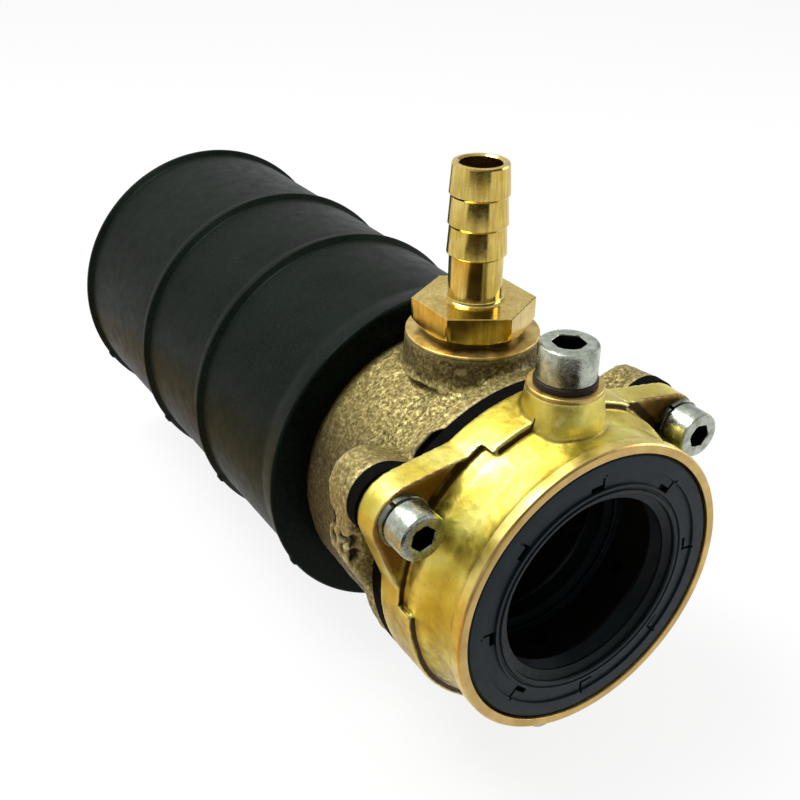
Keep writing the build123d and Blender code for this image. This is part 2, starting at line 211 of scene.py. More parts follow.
# A value from 0 to 1 at each point of a mesh, for its material to read
def write_mask(mesh, name, amount):
    layer = mesh.attributes.new(name, "FLOAT", "POINT")
    layer.data.foreach_set("value", np.asarray(amount, dtype=np.float32))


# Evens out the voxels, then smooths the inside corners into cast fillets and hardly wears the outside ones
def soften(mesh, steps, outside, even):
    pairs = np.empty(len(mesh.edges) * 2, np.int64)
    mesh.edges.foreach_get("vertices", pairs)
    a, b = pairs.reshape(-1, 2).T
    both = np.concatenate([a, b])
    other = np.concatenate([b, a])
    count = len(mesh.vertices)
    degree = np.bincount(both, minlength=count)[:, None]
    co = coordinates(mesh)
    for step in range(steps + even):
        near = [np.bincount(both, weights=co[other, k], minlength=count) for k in range(3)]
        pull = np.stack(near, 1) / degree - co
        facing = normals(mesh)
        height = (pull * facing).sum(1, keepdims=True)
        if step < even:
            weight = 0.5
        else:
            weight = np.where(height > 0, 0.5, outside)
        co = co + weight * pull
        write_coordinates(mesh, co)


# Moves the surface in and out by smooth noise, as a sand mould leaves it, in layers of size, depth and seed.
# share says how much of it a point takes.
def roughen(mesh, layers, share):
    co = coordinates(mesh)
    facing = normals(mesh)
    move = np.zeros(len(co))
    for size, depth, seed in layers:
        scale = 1 / size
        shift = Vector((seed, 0.7 * seed, 1.3 * seed))
        move += depth * np.array([noise.noise(Vector(p) * scale + shift) for p in co.tolist()])
    move *= share(co)
    write_coordinates(mesh, co + facing * move[:, None])


# Materials

line_blur = 0.1


class Nodes:
    def __init__(self, name):
        self.material = bpy.data.materials.new(name)
        self.material.use_nodes = True
        self.tree = self.material.node_tree
        self.shader = self.tree.nodes["Principled BSDF"]
        self.place = self.add("ShaderNodeTexCoord").outputs["Object"]

    def add(self, kind, **values):
        node = self.tree.nodes.new(kind)
        for key, value in values.items():
            setattr(node, key, value)
        return node

    def link(self, out, socket):
        self.tree.links.new(out, socket)

    # Noise of a size in millimetres, which stretch may change along each axis
    def noise(self, size, detail, rough=0.55, stretch=None):
        node = self.add("ShaderNodeTexNoise")
        node.inputs["Scale"].default_value = 1 / (size * MM)
        node.inputs["Detail"].default_value = detail
        node.inputs["Roughness"].default_value = rough
        if stretch is None:
            self.link(self.place, node.inputs["Vector"])
        else:
            mapping = self.add("ShaderNodeMapping")
            mapping.inputs["Scale"].default_value = stretch
            self.link(self.place, mapping.inputs["Vector"])
            self.link(mapping.outputs["Vector"], node.inputs["Vector"])
        return node.outputs["Fac"]

    # Stops are pairs of a place and a colour or grey
    def ramp(self, value, stops):
        node = self.add("ShaderNodeValToRGB")
        elements = node.color_ramp.elements
        while len(elements) < len(stops):
            elements.new(0.5)
        for element, (place, color) in zip(elements, stops):
            element.position = place
            element.color = (*color, 1) if isinstance(color, tuple) else (color, color, color, 1)
        self.link(value, node.inputs["Fac"])
        return node.outputs["Color"]

    def mix(self, factor, a, b):
        node = self.add("ShaderNodeMix", data_type="RGBA")
        if isinstance(factor, float):
            node.inputs[0].default_value = factor
        else:
            self.link(factor, node.inputs[0])
        for value, socket in ((a, node.inputs[6]), (b, node.inputs[7])):
            if isinstance(value, tuple):
                socket.default_value = (*value, 1)
            else:
                self.link(value, socket)
        return node.outputs[2]

    def math(self, kind, a, b):
        node = self.add("ShaderNodeMath", operation=kind)
        for value, socket in ((a, node.inputs[0]), (b, node.inputs[1])):
            if isinstance(value, float):
                socket.default_value = value
            else:
                self.link(value, socket)
        return node.outputs[0]

    def mask(self, name):
        return self.add("ShaderNodeAttribute", attribute_name=name).outputs["Fac"]

    def pointiness(self):
        return self.add("ShaderNodeNewGeometry").outputs["Pointiness"]

    # Goes from 0 to 1 over a width round a place on an axis, both in millimetres
    def step_along(self, axis, place, width):
        parts = self.add("ShaderNodeSeparateXYZ")
        self.link(self.place, parts.inputs["Vector"])
        step = self.add("ShaderNodeMapRange")
        step.inputs["From Min"].default_value = (place - width / 2) * MM
        step.inputs["From Max"].default_value = (place + width / 2) * MM
        self.link(parts.outputs[axis], step.inputs["Value"])
        return step.outputs["Result"]

    # A line of a width across an axis, with soft edges
    def line_at(self, axis, place, width):
        start = self.step_along(axis, place - width / 2, line_blur)
        end = self.step_along(axis, place + width / 2, line_blur)
        return self.math("SUBTRACT", start, end)

    # Bumps, each a (height, depth in millimetres) pair, one on top of the other
    def bump(self, *layers):
        below = None
        for height, depth in layers:
            node = self.add("ShaderNodeBump")
            node.inputs["Strength"].default_value = 1.0
            node.inputs["Distance"].default_value = depth * MM
            self.link(height, node.inputs["Height"])
            if below is not None:
                self.link(below, node.inputs["Normal"])
            below = node.outputs["Normal"]
        self.link(below, self.shader.inputs["Normal"])

    def surface(self, color, rough, metallic=0.0, specular=0.5, tint=(1, 1, 1)):
        inputs = self.shader.inputs
        self.link(color, inputs["Base Color"])
        if isinstance(rough, float):
            inputs["Roughness"].default_value = rough
        else:
            self.link(rough, inputs["Roughness"])
        inputs["Metallic"].default_value = metallic
        inputs["Specular IOR Level"].default_value = specular
        inputs["Specular Tint"].default_value = (*tint, 1)
        return self.material


# Black rubber with a green cast and a little grey bloom
def make_sleeve_rubber():
    m = Nodes("sleeve_rubber")
    tone = m.ramp(m.noise(11, 4), [(0.3, (0.0014, 0.0024, 0.0018)), (0.7, (0.0032, 0.0054, 0.0040))])
    bloom = m.ramp(m.noise(0.45, 4, 0.75), [(0.50, 0.0), (0.70, 0.4)])
    color = m.mix(bloom, tone, (0.020, 0.031, 0.022))
    rough = m.ramp(m.noise(3.0, 4), [(0.3, 0.36), (0.7, 0.48)])
    m.bump((m.noise(0.33, 3), 0.025), (m.noise(2.5, 2), 0.02))
    return m.surface(color, rough, specular=0.055, tint=(0.70, 1.0, 0.78))


# Sand cast bronze: khaki grains on brown, paler where an edge stands out, partly wear and partly painted
# highlight.
# Painted shade darkens its inside corners, a line at the flange's back edge, and the points of its shade
# mask.
def make_cast_bronze():
    m = Nodes("cast_bronze")
    grain = m.noise(0.66, 4, 0.68)
    tone = m.ramp(grain, [
        (0.34, (0.045, 0.031, 0.008)), (0.45, (0.155, 0.118, 0.033)),
        (0.56, (0.30, 0.245, 0.076)), (0.70, (0.70, 0.62, 0.27)),
    ])
    patch = m.ramp(m.noise(7.5, 3), [(0.38, 0.0), (0.66, 0.75)])
    color = m.mix(patch, tone, m.mix(0.55, tone, (0.23, 0.165, 0.052)))
    # Paler edges: partly wear, partly painted highlight
    edge = m.ramp(m.pointiness(), [(0.50, 0.0), (0.58, 0.6)])
    color = m.mix(edge, color, (0.66, 0.58, 0.30))
    # Painted shade in the inside corners
    hollow_shade = m.ramp(m.pointiness(), [(0.42, 0.8), (0.49, 0.0)])
    color = m.mix(hollow_shade, color, (0.045, 0.028, 0.012))
    # Painted shade: a dark line along the flange's back edge
    line = m.math("MULTIPLY", m.line_at("Y", flange_back, 0.30), m.mask("flange"))
    color = m.mix(line, color, (0.035, 0.024, 0.008))
    # Painted shade on the points the body marks: pits, reliefs, bore, barrel's left side and boss side
    color = m.mix(m.mask("painted_shade"), color, (0.020, 0.012, 0.007))
    rough = m.ramp(grain, [(0.35, 0.72), (0.68, 0.42)])
    m.bump((m.noise(0.8, 4, 0.65), 0.09), (m.noise(0.33, 3), 0.04))
    return m.surface(color, rough, 0.65)


# Fettled yellow bronze, with painted shade: browner in its corners, in the screw seats, along the hub's steps
# and low down.
# Paler along its edges, partly wear and partly painted highlight.
def make_cover_bronze():
    m = Nodes("cover_bronze")
    tone = m.ramp(m.noise(9.0, 3, 0.5), [
        (0.32, (0.48, 0.37, 0.050)), (0.5, (0.60, 0.50, 0.080)), (0.66, (0.78, 0.71, 0.19)),
    ])
    patch = m.ramp(m.noise(5.0, 4, 0.6), [(0.38, 0.2), (0.62, 0.85)])
    # Painted shade: mottled brown that grows towards the bottom
    brown = m.math("SUBTRACT", patch, m.step_along("Z", 2.0, 34.0))
    color = m.mix(m.math("MAXIMUM", brown, 0.0), tone, (0.25, 0.15, 0.030))
    speck = m.ramp(m.noise(0.5, 5, 0.7), [(0.60, 0.0), (0.70, 0.65)])
    color = m.mix(speck, color, (0.28, 0.18, 0.03))
    # Paler edges: partly wear, partly painted highlight
    edge = m.ramp(m.pointiness(), [(0.505, 0.0), (0.56, 0.7)])
    color = m.mix(edge, color, (0.90, 0.82, 0.42))
    # Painted shade in the inside corners
    hollow_shade = m.ramp(m.pointiness(), [(0.465, 0.95), (0.498, 0.0)])
    color = m.mix(hollow_shade, color, (0.14, 0.060, 0.014))
    # Painted shade in the screw seats
    color = m.mix(m.mask("painted_shade"), color, (0.17, 0.075, 0.018))
    # Painted shade and dirt: a dark line at the foot of each step of the hub
    for name, step in hub_steps:
        line = m.math("MULTIPLY", m.line_at("Y", step, 0.32), m.mask(name))
        color = m.mix(line, color, (0.045, 0.026, 0.008))
    rough = m.ramp(m.noise(1.6, 4), [(0.35, 0.34), (0.65, 0.48)])
    m.bump((m.noise(0.9, 4, 0.6), 0.05), (m.noise(0.3, 3), 0.016))
    return m.surface(color, rough, 1.0)


# The turned face of the rim is tan, and its outside goes over to the yellow of the cover
def make_machined_rim():
    m = Nodes("machined_rim")
    tan = m.ramp(m.noise(5.0, 3), [(0.35, (0.50, 0.33, 0.105)), (0.65, (0.64, 0.45, 0.17))])
    yellow = m.ramp(m.noise(4.0, 4), [(0.35, (0.56, 0.42, 0.08)), (0.65, (0.78, 0.64, 0.20))])
    color = m.mix(m.step_along("Y", rim_face, 0.15), tan, yellow)
    m.bump((m.noise(0.25, 3), 0.012))
    return m.surface(color, m.ramp(m.noise(1.5, 3), [(0.3, 0.3), (0.7, 0.42)]), 1.0)


# The turned tops of the two bosses
def make_boss_face():
    m = Nodes("boss_face")
    tone = m.ramp(m.noise(3.0, 4), [(0.35, (0.42, 0.29, 0.075)), (0.65, (0.68, 0.50, 0.17))])
    m.bump((m.noise(0.3, 3), 0.015))
    return m.surface(tone, m.ramp(m.noise(1.5, 3), [(0.3, 0.34), (0.7, 0.46)]), 1.0)


# Brass with fine turning lines, with painted shadow where the hexagon meets its boss
def make_turned_brass():
    m = Nodes("turned_brass")
    tone = m.ramp(m.noise(4.0, 4), [(0.35, (0.58, 0.42, 0.085)), (0.65, (0.74, 0.57, 0.17))])
    lines = m.noise(0.5, 2, stretch=(1.0, 1.0, 0.06))
    color = m.mix(m.ramp(lines, [(0.35, 0.45), (0.6, 0.0)]), tone, (0.30, 0.19, 0.04))
    # Painted shadow where the hexagon meets its boss
    color = m.mix(m.mask("painted_shade"), color, (0.035, 0.022, 0.009))
    m.bump((m.noise(0.25, 2, stretch=(0.2, 0.2, 2.5)), 0.003))
    return m.surface(color, m.ramp(m.noise(1.3, 3), [(0.3, 0.12), (0.7, 0.20)]), 1.0)


# Steel a little dirty, with painted shade in its corners, in the sockets and on the lock washers
def make_stainless():
    m = Nodes("stainless")
    tone = m.ramp(m.noise(1.6, 4), [(0.35, (0.27, 0.30, 0.245)), (0.65, (0.50, 0.53, 0.45))])
    speck = m.ramp(m.noise(0.45, 4, 0.7), [(0.60, 0.0), (0.70, 0.8)])
    color = m.mix(speck, tone, (0.06, 0.06, 0.05))
    # Painted shade in the inside corners
    hollow_shade = m.ramp(m.pointiness(), [(0.40, 0.9), (0.48, 0.0)])
    color = m.mix(hollow_shade, color, (0.012, 0.012, 0.010))
    # Painted shade in the sockets and on the lock washers
    color = m.mix(m.mask("painted_shade"), color, (0.008, 0.008, 0.007))
    m.bump((m.noise(0.35, 3), 0.03))
    return m.surface(color, m.ramp(m.noise(0.9, 3), [(0.3, 0.2), (0.7, 0.34)]), 1.0)


# Blue-black rubber, with painted shade in the pockets of its face, its fine groove and behind its dust lip
def make_seal_rubber():
    m = Nodes("seal_rubber")
    tone = m.ramp(m.noise(3.0, 4), [(0.3, (0.0070, 0.0115, 0.0165)), (0.7, (0.0120, 0.0185, 0.0255))])
    # Painted shade where the seal marks it
    color = m.mix(m.mask("painted_shade"), tone, (0.0012, 0.0014, 0.0018))
    m.bump((m.noise(0.4, 3), 0.012))
    rough = m.ramp(m.noise(1.5, 3), [(0.3, 0.38), (0.7, 0.52)])
    return m.surface(color, rough, specular=0.2, tint=(0.75, 0.95, 1.0))


# Between a dark and a light tone
def make_plain(name, dark, light, rough, metallic, specular=0.5):
    m = Nodes(name)
    tone = m.ramp(m.noise(1.2, 4), [(0.3, dark), (0.7, light)])
    m.bump((m.noise(0.4, 3), 0.02))
    return m.surface(tone, rough, metallic, specular)


# Stations along Y, in millimetres, of the rim's face edge and of dark lines in corners:
# painted shade at the flange's back edge, painted shade and dirt at the hub's steps
rim_face = 0.45
flange_back = 26.4
hub_steps = [("front_step", 11.2), ("back_step", 14.3)]

sleeve_rubber = make_sleeve_rubber()
cast_bronze = make_cast_bronze()
cover_bronze = make_cover_bronze()
machined_rim = make_machined_rim()
boss_face = make_boss_face()
turned_brass = make_turned_brass()
stainless = make_stainless()
seal_rubber = make_seal_rubber()
gasket_rubber = make_plain("gasket_rubber", (0.0015, 0.0015, 0.0016), (0.004, 0.004, 0.004), 0.8, 0.0, 0.03)
bearing_rubber = make_plain("bearing_rubber", (0.006, 0.006, 0.006), (0.012, 0.012, 0.012), 0.5, 0.0, 0.3)
grease_dark = make_plain("grease_dark", (0.006, 0.005, 0.004), (0.014, 0.012, 0.009), 0.4, 0.0, 0.25)
brass_tube = make_plain("brass_tube", (0.45, 0.3, 0.09), (0.7, 0.5, 0.18), 0.3, 1.0)
spring_steel = make_plain("spring_steel", (0.35, 0.35, 0.35), (0.55, 0.55, 0.55), 0.3, 1.0)
fibre = make_plain("fibre", (0.014, 0.008, 0.006), (0.028, 0.017, 0.012), 0.6, 0.0, 0.2)


# Rubber sleeve, one moulding with three ribs and a front lip
sleeve_bore = 27.0
spigot_bore = 26.7
spigot_length = 40.0
sleeve_r = 33.0
lip_rise = 1.3
rib_height = 1.1
rib_crest = 0.8
rib_front = 1.2
rib_back = 2.6
rib_places = [35.3, 65.5, 104.6]
lip_length = 6.0
end_draft = 0.6
flash_angle = math.radians(-151)
flash_half_width = math.radians(1.4)
flash_height = 0.35


def make_sleeve():
    length = (sleeve_high.y - sleeve_low.y) / MM
    outline = [(spigot_bore, 0.0, 0.25), (sleeve_r + lip_rise, 0.0, 0.7), (sleeve_r, lip_length, 8.0)]
    for crest in rib_places:
        outline += [
            (sleeve_r, crest - rib_crest / 2 - rib_front, 0.8),
            (sleeve_r + rib_height, crest - rib_crest / 2, 0.35),
            (sleeve_r + rib_height, crest + rib_crest / 2, 0.35),
        ]
        if crest != rib_places[-1]:
            outline += [(sleeve_r, crest + rib_crest / 2 + rib_back, 2.0)]
    outline += [(sleeve_r - end_draft, length, 0.5), (sleeve_bore, length, 0.4)]
    outline += [(sleeve_bore, spigot_length), (spigot_bore, spigot_length)]

    # A nub of moulding flash stands on the front lip and on each rib
    def ring(index, radius, height, a):
        away = abs((a - flash_angle + math.pi) % (2 * math.pi) - math.pi)
        if radius > sleeve_r + 0.8 and away < flash_half_width:
            return radius + flash_height, height
        return radius, height

    points = rounded(outline, 5)
    place = (0, sleeve_low.y, 0)
    mesh = turned("rubber_sleeve_skin", points, place, even_angles(360), ring_of=ring, smooth=50)
    add_piece("rubber_sleeve_skin", mesh, sleeve_rubber, "rubber_sleeve")


# Sand cast body up to the sleeve, its turned boss face, and its plain spigot inside the sleeve
casting_voxel = 0.40
spigot_cut = 0.2
spigot_r = 26.68
boss_face_t = 0.5
boss_face_r = 12.0
barb_hole_r = 6.6
flange_inside_r = 27.0
# The front face is set back beside each upper lug, on the side of the boss: each between two angles
reliefs = [(42, 58), (122, 138)]
relief_depth = 1.5
# Each pit's middle, its radius and its depth, in millimetres
pits = [
    ((-34.3, 29.0, 10.4), 2.3, 0.9), ((-34.4, 28.2, 7.0), 1.5, 0.9), ((-34.6, 25.2, 8.6), 1.5, 1.4),
    ((-33.8, 22.9, 8.8), 1.6, 1.4), ((-33.5, 22.8, 6.0), 1.6, 1.5), ((-34.5, 24.9, 6.4), 1.0, 0.9),
]
# Inside this radius the casting gets painted shade
bore_shade_r = 25.5
barrel_front = 30.8
barrel_r = 29.4
boss_foot = 27.0


# How far back the front face lies at each point, deepest in the middle of a relief
def relief_at(co):
    angle = np.degrees(np.arctan2(co[:, 2], co[:, 0]))
    outside = np.hypot(co[:, 0], co[:, 2]) > flange_inside_r * MM
    depth = np.zeros(len(co))
    for start, end in reliefs:
        along = np.clip((angle - start) / (end - start), 0, 1)
        depth += relief_depth * MM * np.clip(5.5 * along * (1 - along), 0, 1) * outside
    return depth


# Points on the front face where it is set back
def notched(co):
    depth = relief_at(co)
    return (depth > 0.1 * MM) & (co[:, 1] < body_low.y + depth + 0.25 * MM)


# The rough casting: reliefs in the front face and a sandy skin, but a true front face, top and sleeve end
def cast_body():
    cuts = [
        (Vector((0, sleeve_low.y + spigot_cut * MM, 0)), Vector((0, 1, 0))),
        (Vector((0, 0, body_high.z - boss_face_t * MM)), Vector((0, 0, 1))),
    ]
    mesh = remeshed("gland_body", casting_voxel * MM, cuts)
    soften(mesh, 5, 0.08, 3)

    co = coordinates(mesh)
    co[:, 1] = np.maximum(co[:, 1], body_low.y + relief_at(co))
    write_coordinates(mesh, co)

    def rough_part(co):
        from_face = np.clip((co[:, 1] - body_low.y) / (1.2 * MM) - 0.4, 0, 1)
        from_sleeve = np.clip((sleeve_low.y - co[:, 1]) / (1.5 * MM), 0.15, 1)
        from_top = np.clip((body_high.z - co[:, 2]) / (1.6 * MM) - 0.3, 0.2, 1)
        return from_face * from_sleeve * from_top

    roughen(mesh, [(6.0 * MM, 0.20 * MM, 3.1), (1.5 * MM, 0.16 * MM, 7.7)], rough_part)
    return mesh


# Casting pits under the left lug, with painted shade in them, in the reliefs, inside the bore,
# on the barrel's left side and on the side of the boss
def pit_and_shade(mesh):
    co = coordinates(mesh)
    facing = normals(mesh)
    radius = np.hypot(co[:, 0], co[:, 2])
    move = np.zeros(len(co))
    # Painted shade inside the bore, then in each pit
    dark = (radius < bore_shade_r * MM).astype(float)
    for middle, reach, depth in pits:
        away = np.linalg.norm(co - np.array(middle) * MM, axis=1) / (reach * MM)
        move = np.minimum(move, -depth * MM * np.clip(1.2 - 1.2 * away ** 2, 0, 1))
        dark = np.maximum(dark, np.clip(1.5 - 1.6 * away ** 2, 0, 0.9))
    write_coordinates(mesh, co + facing * move[:, None])
    # Painted shade in the reliefs
    dark = np.maximum(dark, notched(co))
    # Painted shade on the left of the barrel in the lee of the lug, and on the side of the boss
    barrel = (co[:, 1] > barrel_front * MM) & (radius < barrel_r * MM)
    dark = np.maximum(dark, 0.7 * barrel * np.clip((-co[:, 0] / MM - 20.0) / 6.0, 0, 1))
    from_boss = np.hypot(co[:, 0], co[:, 1] - barb_y)
    boss_side = (from_boss < 12.3 * MM) & (from_boss > 11 * MM) & (co[:, 2] > boss_foot * MM)
    dark = np.maximum(dark, 0.5 * boss_side)
    write_mask(mesh, "painted_shade", dark)
    write_mask(mesh, "flange", (radius > 26.0 * MM) & (radius < 30.4 * MM))


def make_body():
    mesh = cast_body()
    pit_and_shade(mesh)
    shade(mesh, 60)
    add_piece("body_casting", mesh, cast_bronze, "gland_body")

    outline = [
        (barb_hole_r, -1.2), (barb_hole_r, 0.0, 0.15), (boss_face_r, 0.0, 0.22),
        (boss_face_r, -0.45, 0.1), (boss_face_r - 0.6, -1.2),
    ]
    place = (0, barb_y, body_high.z)
    mesh = turned("body_boss_face", rounded(outline, 3), place, even_angles(200), axis="Z")
    add_piece("body_boss_face", mesh, boss_face, "gland_body")

    start = sleeve_low.y / MM + 0.05
    end = body_high.y / MM
    bore = (shell_high.x - shell_low.x) / 2 / MM + 0.02
    outline = [(bore, start), (spigot_r, start), (spigot_r, end, 1.0), (bore, end, 0.3)]
    mesh = turned("body_spigot", rounded(outline, 4), (0, 0, 0), even_angles(160))
    add_piece("body_spigot", mesh, brass_tube, "gland_body")


# Each cover screw, with the place of its lock washer's gap and the turn of its socket, in degrees
cover_screws = {"left": (120, 12), "right": (120, 40), "bottom": (20, 25)}

# Seal cover: a fettled casting, its machined front rim and the turned top of its boss
cover_voxel = 0.33
rim_cut = 2.0
seal_bore = 26.0
waist_r = 27.35
rim_proud = 0.4
rim_length = 2.2
plug_boss_r = 6.35
plug_hole_r = 3.1
plug_boss_cut = 0.5
seat_cut_width = 30.6


# Painted brown shade in the seats round the screws, on what faces the screw
def shade_seats(mesh):
    co = coordinates(mesh)
    facing = normals(mesh)
    radius = np.hypot(co[:, 0], co[:, 2]) / MM
    brown = np.zeros(len(co))
    for side in cover_screws:
        low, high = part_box("cover_screw_" + side)
        across = (low.x + high.x) / 2 - co[:, 0]
        up = (low.z + high.z) / 2 - co[:, 2]
        away = np.hypot(across, up) / MM
        towards = (facing[:, 0] * across + facing[:, 2] * up) / (away * MM)
        near = np.clip((away - 4.0) / 0.8, 0, 1) * np.clip((15.0 - away) / 5.0, 0, 1)
        near *= np.clip(np.maximum(towards, -facing[:, 1]) * 4, 0, 1)
        near *= np.clip((radius - 30.1) / 0.6, 0, 1)
        brown = np.maximum(brown, 0.9 * near * (co[:, 1] < cover_high.y - 2.4 * MM))
    write_mask(mesh, "painted_shade", brown)


# The step from hub to flange, which lies further back where the seats are cut.
# Its foot gets a dark line of painted shade and dirt.
def mark_steps(mesh):
    co = coordinates(mesh)
    radius = np.hypot(co[:, 0], co[:, 2])
    at_step = (radius > 28.0 * MM) & (radius < 30.8 * MM)
    in_seat = np.zeros(len(co), dtype=bool)
    for a in ear_angles:
        out = co[:, 0] * math.cos(a) + co[:, 2] * math.sin(a)
        side = co[:, 2] * math.cos(a) - co[:, 0] * math.sin(a)
        in_seat |= (out > 0) & (np.abs(side) < seat_cut_width / 2 * MM)
    write_mask(mesh, "front_step", at_step & ~in_seat)
    write_mask(mesh, "back_step", at_step & in_seat)


def make_cover():
    cuts = [
        (Vector((0, cover_low.y + rim_cut * MM, 0)), Vector((0, -1, 0))),
        (Vector((0, 0, washer_low.z - plug_boss_cut * MM)), Vector((0, 0, 1))),
    ]
    mesh = remeshed("seal_cover", cover_voxel * MM, cuts)
    soften(mesh, 3, 0.05, 2)

    def rough_part(co):
        return np.clip((cover_high.y - co[:, 1]) / (0.8 * MM) - 0.3, 0, 1)

    roughen(mesh, [(7.0 * MM, 0.10 * MM, 2.2), (1.6 * MM, 0.035 * MM, 5.4)], rough_part)
    shade_seats(mesh)
    mark_steps(mesh)
    shade(mesh, 40)
    add_piece("cover_casting", mesh, cover_bronze, "seal_cover")

    rim = waist_r + rim_proud
    outline = [
        (seal_bore, 0.0, 0.15), (rim - 0.3, 0.0, 0.12), (rim, 0.35, 0.2),
        (rim, rim_length, 0.2), (waist_r - 0.1, rim_length + 0.6), (seal_bore, rim_length + 0.6),
    ]
    mesh = turned("cover_rim", rounded(outline, 3), (0, cover_low.y, 0), even_angles(300))
    add_piece("cover_rim", mesh, machined_rim, "seal_cover")

    outline = [
        (plug_hole_r, -1.0), (plug_hole_r, 0.0), (plug_boss_r, 0.0, 0.22),
        (plug_boss_r + 0.06, -0.8, 0.1), (plug_boss_r - 0.4, -1.0),
    ]
    place = (0, plug_y, washer_low.z)
    mesh = turned("plug_boss_face", rounded(outline, 3), place, even_angles(160), axis="Z")
    add_piece("plug_boss_face", mesh, boss_face, "seal_cover")


# Lip seal. The face has a sunk band with a moulding pocket and a thin radial mark at each step.
face_in, groove_in, groove_out = 18.5, 19.15, 19.75
band_in, pocket_edge, band_out, mark_end = 20.3, 21.3, 22.8, 23.3
seal_r = 25.98
seal_lip_r = 17.0
seal_case_in = 23.1
seal_web_in = 19.5
seal_web_back = 2.3
lip_back = 6.5
seal_width = 7.0
band_depth = 0.4
groove_depth = 0.3
pocket_depth = 1.4
pocket_angle = math.radians(7.5)
mark_angle = math.radians(1.2)
pocket_places = [math.radians(45 * k) for k in range(8)]


def angle_between(a, start, end):
    return (a - start) % (2 * math.pi) <= end - start


def make_seal(node):
    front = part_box(node)[0].y
    outline = [
        # The face, with its sunk band and a fine groove inside it
        (seal_r, 0.7, 0.05), (seal_r - 0.63, 0.0, 0.1), (mark_end, 0.0), (band_out + 0.05, 0.0),
        (band_out, band_depth), (pocket_edge, band_depth), (pocket_edge - 0.05, band_depth),
        (band_in, band_depth), (band_in - 0.05, 0.0), (groove_out, 0.0), (groove_out - 0.15, groove_depth),
        (groove_in + 0.15, groove_depth), (groove_in, 0.0), (face_in, 0.0, 0.4),
        # The dust lip and the main lip
        (face_in, 0.9, 0.1), (seal_lip_r, 1.45, 0.1), (seal_lip_r, 1.85, 0.1), (18.4, 2.4, 0.2),
        (seal_lip_r, 4.6, 0.04), (18.5, lip_back, 0.1), (seal_web_in, lip_back, 0.05),
        # The web and the case
        (seal_web_in, seal_web_back, 0.1), (seal_case_in, seal_web_back, 0.1),
        (seal_case_in, seal_width, 0.05), (seal_r, seal_width, 0.1),
    ]
    angles = even_angles(240)
    for start in pocket_places:
        for edge in (start, start + mark_angle, start + pocket_angle):
            angles += [(edge - 0.001) % (2 * math.pi), (edge + 0.001) % (2 * math.pi)]
    angles = sorted(set(angles))

    def ring(index, radius, height, a):
        if height > band_depth + 1e-6:
            return radius, height
        in_pocket = band_in - 0.01 <= radius <= pocket_edge - 0.04
        in_mark = band_in - 0.01 <= radius <= band_out + 0.06
        for start in pocket_places:
            if in_pocket and angle_between(a, start, start + pocket_angle):
                return radius, pocket_depth
            if in_mark and angle_between(a, start, start + mark_angle):
                return radius, 2 * band_depth
        return radius, height

    mesh = turned(node + "_skin", rounded(outline, 3), (0, front, 0), angles, ring_of=ring)
    co = coordinates(mesh)
    radius = np.hypot(co[:, 0], co[:, 2]) / MM
    sunk = (co[:, 1] - front) / MM
    # Painted shade in the pockets and marks of the band, in the fine groove and behind the dust lip
    pocket = (sunk > 1.5 * band_depth) & (radius > band_in - 0.1) & (radius < mark_end)
    groove = (sunk > 0.25) & (radius > 19.0) & (radius < band_in - 0.2)
    lip = (sunk > 0.25) & (radius < 19.0)
    write_mask(mesh, "painted_shade", np.maximum(pocket, 0.8 * (groove | lip)))
    add_piece(node + "_skin", mesh, seal_rubber, node)


# Socket head screw or plug: head and shank turned, with a hexagon socket
def socket_screw(node, place, out, turn, head_d, head_h, shank_d, shank_l, socket, depth):
    r, s, shank = head_d / 2, socket / 2, shank_d / 2
    edge = 0.09 * r
    floor = head_h - depth
    rings = [
        (0.0, floor - 0.12 * socket), (s * 0.98, floor), (s, floor + 0.1),
        (s, head_h - 0.22), (s + 0.08, head_h - 0.06), (s + 0.30, head_h),
        (r - 1.6 * edge, head_h), (r - edge, head_h - 0.10 * edge), (r - 0.35 * edge, head_h - 0.5 * edge),
        (r, head_h - 1.5 * edge), (r, 0.16), (r - 0.16, 0.0), (shank + 0.15, 0.0), (shank, -0.15),
    ]
    pitch = 0.16 * shank_d
    turns = int((shank_l - 1.2) / pitch)
    for k in range(turns):
        y = -0.6 - k * pitch
        rings += [(shank, y), (shank * 0.88, y - pitch / 2)]
    rings += [(shank * 0.8, -shank_l), (0.0, -shank_l)]

    def ring(index, radius, height, a):
        if 1 <= index <= 4:
            return radius * hex_radius(1.0, a + turn), height
        return radius, height

    name = node + "_skin"
    mesh = turned(name, rings, (0, 0, 0), even_angles(96), axis="Z", ring_of=ring, smooth=34)
    # Painted shade inside the hexagon socket
    co = coordinates(mesh)
    away = np.hypot(co[:, 0], co[:, 1])
    write_mask(mesh, "painted_shade", (away < 1.16 * s * MM) & (co[:, 2] > 0) & (co[:, 2] < (head_h - 0.1) * MM))
    # From upright to the way the head faces
    spin = Vector((0, 0, 1)).rotation_difference(Vector(out)).to_matrix().to_4x4()
    mesh.transform(Matrix.Translation(place) @ spin)
    add_piece(name, mesh, stainless, node)


# Split lock washer: a square section bent round, its ends a little apart
washer_inner = 2.55
washer_outer = 4.6
washer_split = 0.7
washer_edge = 0.12


